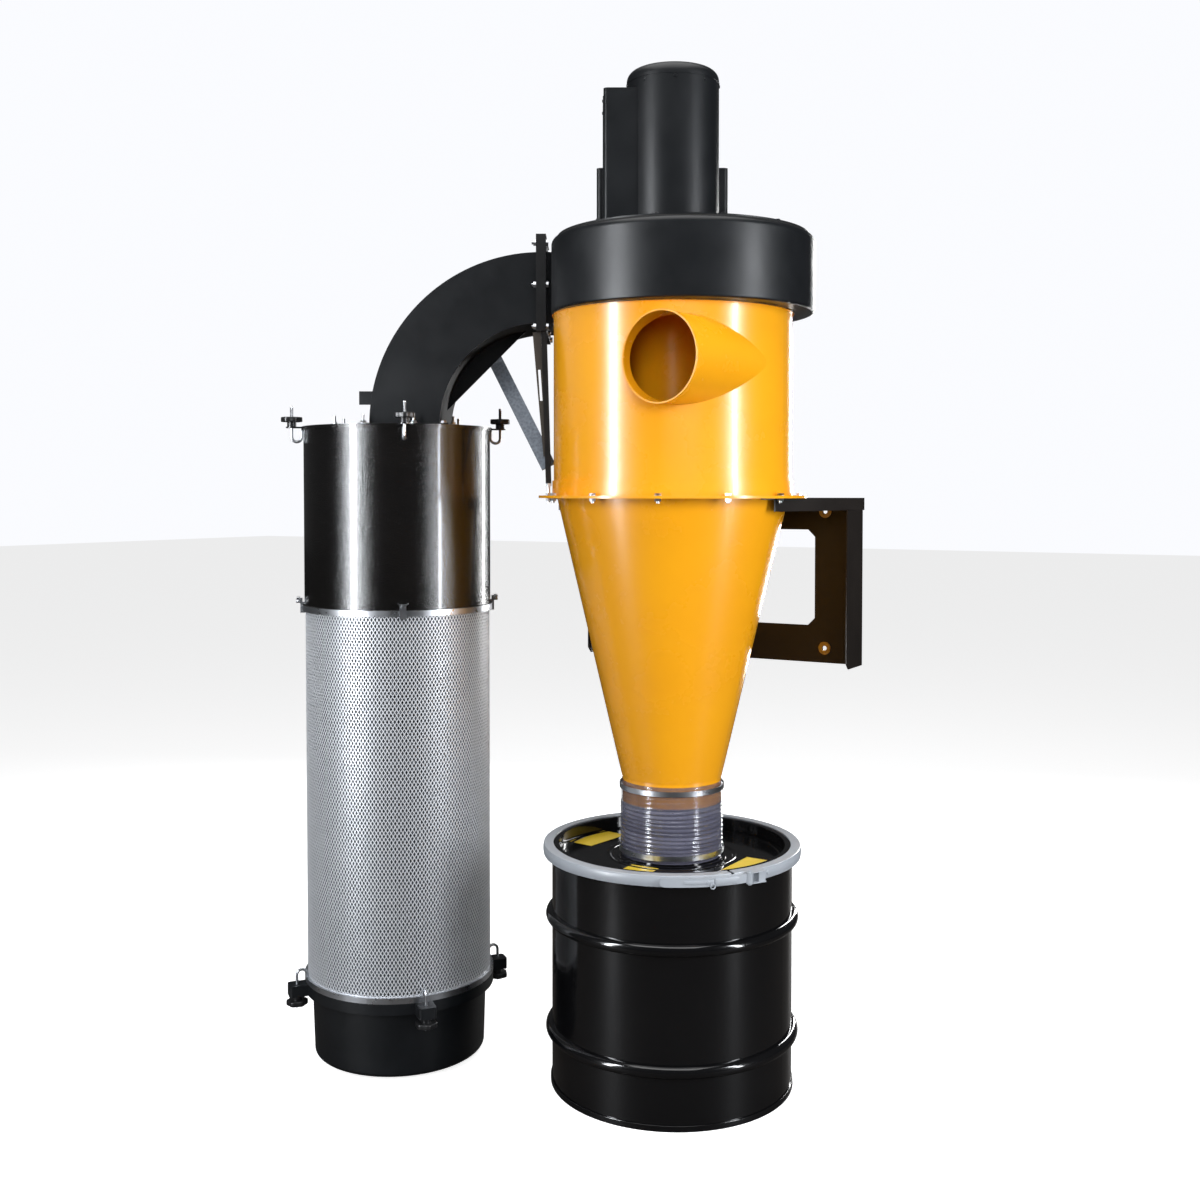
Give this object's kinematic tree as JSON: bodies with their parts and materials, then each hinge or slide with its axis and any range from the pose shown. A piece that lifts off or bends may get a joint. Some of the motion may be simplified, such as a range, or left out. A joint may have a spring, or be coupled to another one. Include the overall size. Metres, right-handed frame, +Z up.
{
  "type": "cyclone separator",
  "caption": "wall-bracketed cyclone dust collector with a top fan, tangential inlet, collection drum, clear hose and hanging cartridge filter",
  "frame": {"origin": "centre of the drum's foot on the floor, on the cyclone's axis", "axes": "+Z up, +Y towards the wall, +X along the wall to the right seen from the room"},
  "size_m": [1.2774, 0.7504, 2.4],
  "materials": {
    "yellow_paint": "gloss powder coat",
    "black_drum_paint": "gloss enamel",
    "ring_grey": "semi-gloss grey enamel",
    "clear_hose": "smoky clear vinyl with a ribbed wall",
    "bright_steel": "zinc plated",
    "black_moulding": "satin moulded",
    "black_steel": "satin black paint",
    "grey_hammered": "hammered grey enamel",
    "black_gloss_paint": "gloss black orange-peel enamel",
    "knob_plastic": "black phenolic",
    "filter_paper": "pleated spun polyester",
    "bracket_paint": "satin brown-black paint"
  },
  "bodies": {
    "collector": {"cone": "yellow_paint", "cone_collar": "yellow_paint", "cone_flange": "yellow_paint", "barrel": "yellow_paint", "barrel_flange": "yellow_paint", "barrel_band": "yellow_paint", "inlet_tube": "yellow_paint", "inlet_rim": "yellow_paint", "barrel_top_plate": "yellow_paint", "vortex_tube": "yellow_paint", "drum_shell": "black_drum_paint", "drum_bottom": "black_drum_paint", "drum_lid": "black_drum_paint", "lid_collar": "black_drum_paint", "closing_ring": "ring_grey", "ring_lug": "ring_grey", "flex_hose": "clear_hose", "hose_clamps": "bright_steel", "flange_bolts": "bright_steel", "duct_bolts": "bright_steel", "top_hooks": "bright_steel", "pan_hooks": "bright_steel", "middle_clasps": "bright_steel", "middle_ring": "bright_steel", "bottom_ring": "bright_steel", "filter_screen": "bright_steel", "wall_washers": "bright_steel", "fan_housing": "black_moulding", "fan_top_plate": "black_moulding", "motor_cover": "black_moulding", "motor_foot": "black_moulding", "control_box": "black_moulding", "rear_box": "black_moulding", "elbow": "black_moulding", "elbow_web": "black_moulding", "elbow_ear": "black_moulding", "dust_pan": "black_moulding", "outlet_flange": "black_steel", "elbow_flange": "black_steel", "elbow_foot_flange": "black_steel", "support_post": "black_steel", "slotted_strap": "black_steel", "diagonal_brace": "grey_hammered", "filter_top_plate": "black_gloss_paint", "filter_plenum": "black_gloss_paint", "top_knobs": "knob_plastic", "pan_knobs": "knob_plastic", "filter_media": "filter_paper", "wall_plate": "bracket_paint", "bracket_sides": "bracket_paint", "bracket_shelf": "bracket_paint"},
    "lever": {"ring_lever": "ring_grey"}
  },
  "joints": [
    {"name": "lever_hinge", "type": "hinge", "parent": "collector", "child": "lever", "pos_m": [0.27366, -0.158, 0.562], "axis": [0, 0, 1], "range_deg": [0, 135]}
  ]
}
